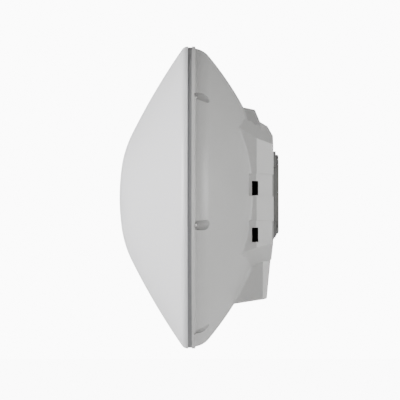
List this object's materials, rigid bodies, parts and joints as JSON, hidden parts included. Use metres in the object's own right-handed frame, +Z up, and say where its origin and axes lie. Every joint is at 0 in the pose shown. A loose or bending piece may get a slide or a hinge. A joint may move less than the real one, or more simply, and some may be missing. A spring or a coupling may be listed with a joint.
{
  "type": "outdoor wireless bridge",
  "caption": "Dish-shaped outdoor radio with a shallow front radome, a rear housing with a saddle that straps to a mast, and a hooded cable entry underneath.",
  "frame": {"origin": "on the axis of the mast that the saddle seats on, level with the dish's boresight", "axes": "-Y is the direction that the dish points, +Z is up along the mast, +X is across"},
  "size_m": [0.256, 0.1345, 0.256],
  "materials": {
    "radome_plastic": "fine satin moulded plastic, UV-stable pale grey",
    "shell_plastic": "fine satin moulded plastic, pale warm grey",
    "gasket_rubber": "soft moulded silicone",
    "brass": "turned, plain",
    "screw_steel": "stainless, machined",
    "reflector_aluminium": "spun sheet, satin",
    "feed_plastic": "natural moulded plastic",
    "circuit_board": "solder mask over glass laminate",
    "black_plastic": "moulded, dead black",
    "saddle_casting": "die-cast, painted mid grey",
    "tinned_steel": "tinned sheet",
    "chip_plastic": "moulded epoxy",
    "thermal_pad": "soft filled silicone",
    "capacitor_sleeve": "shrunk sleeve",
    "lamp_lens": "cast epoxy",
    "light_guide": "clear frosted acrylic",
    "button_plastic": "moulded",
    "gland_plastic": "moulded nylon",
    "vent_plastic": "moulded",
    "membrane": "expanded film"
  },
  "bodies": {
    "housing": {"radome": "radome_plastic", "rear_shell": "shell_plastic", "rim_gasket": "gasket_rubber", "rim_inserts": "brass", "rim_screws": "screw_steel", "reflector": "reflector_aluminium", "reflector_screws": "screw_steel", "feed_base": "feed_plastic", "feed_tube": "feed_plastic", "feed_board": "circuit_board", "feed_cap": "feed_plastic", "sub_reflector": "reflector_aluminium", "feed_screws": "screw_steel", "feed_probe_pins": "brass", "strap_duct_upper": "black_plastic", "strap_duct_lower": "black_plastic", "pole_saddle": "saddle_casting", "saddle_screws": "screw_steel", "main_board": "circuit_board", "board_screws": "screw_steel", "radio_shield_can": "tinned_steel", "digital_shield_can": "tinned_steel", "radio_chip": "chip_plastic", "processor_chip": "chip_plastic", "memory_chip": "chip_plastic", "thermal_pads": "thermal_pad", "heat_spreader": "reflector_aluminium", "ethernet_jack": "black_plastic", "jack_insert": "black_plastic", "jack_contacts": "brass", "ethernet_transformer": "chip_plastic", "power_inductor": "chip_plastic", "capacitors": "capacitor_sleeve", "status_leds": "lamp_lens", "light_guides": "light_guide", "reset_switch": "chip_plastic", "gland_collar": "gland_plastic", "collar_o_ring": "gasket_rubber", "gland_lock_ring": "gland_plastic", "gland_seal": "gasket_rubber", "vent_plug": "vent_plastic", "vent_membrane": "membrane", "ground_washer": "screw_steel", "ground_screw": "screw_steel"},
    "clamping_ring": {"gland_ring": "gland_plastic"},
    "nut": {"gland_nut": "gland_plastic"},
    "button": {"reset_button": "button_plastic"}
  },
  "joints": [
    {"name": "gland_ring_slide", "type": "slide", "parent": "housing", "child": "clamping_ring", "axis": [0, 0, -1], "range_m": [0, 0.003]},
    {"name": "gland_nut_turn", "type": "hinge", "parent": "clamping_ring", "child": "nut", "pos_m": [-0.009, -0.0338, -0.068], "axis": [0, 0, -1], "range_deg": [0, 720]},
    {"name": "reset_button_press", "type": "slide", "parent": "housing", "child": "button", "axis": [0, 0, 1], "range_m": [0, 0.0008], "stiffness_N_per_m": 400}
  ],
  "couplings": [
    {"joint": "gland_nut_turn", "follows": "gland_ring_slide", "rad_per_m": 4188.8}
  ]
}
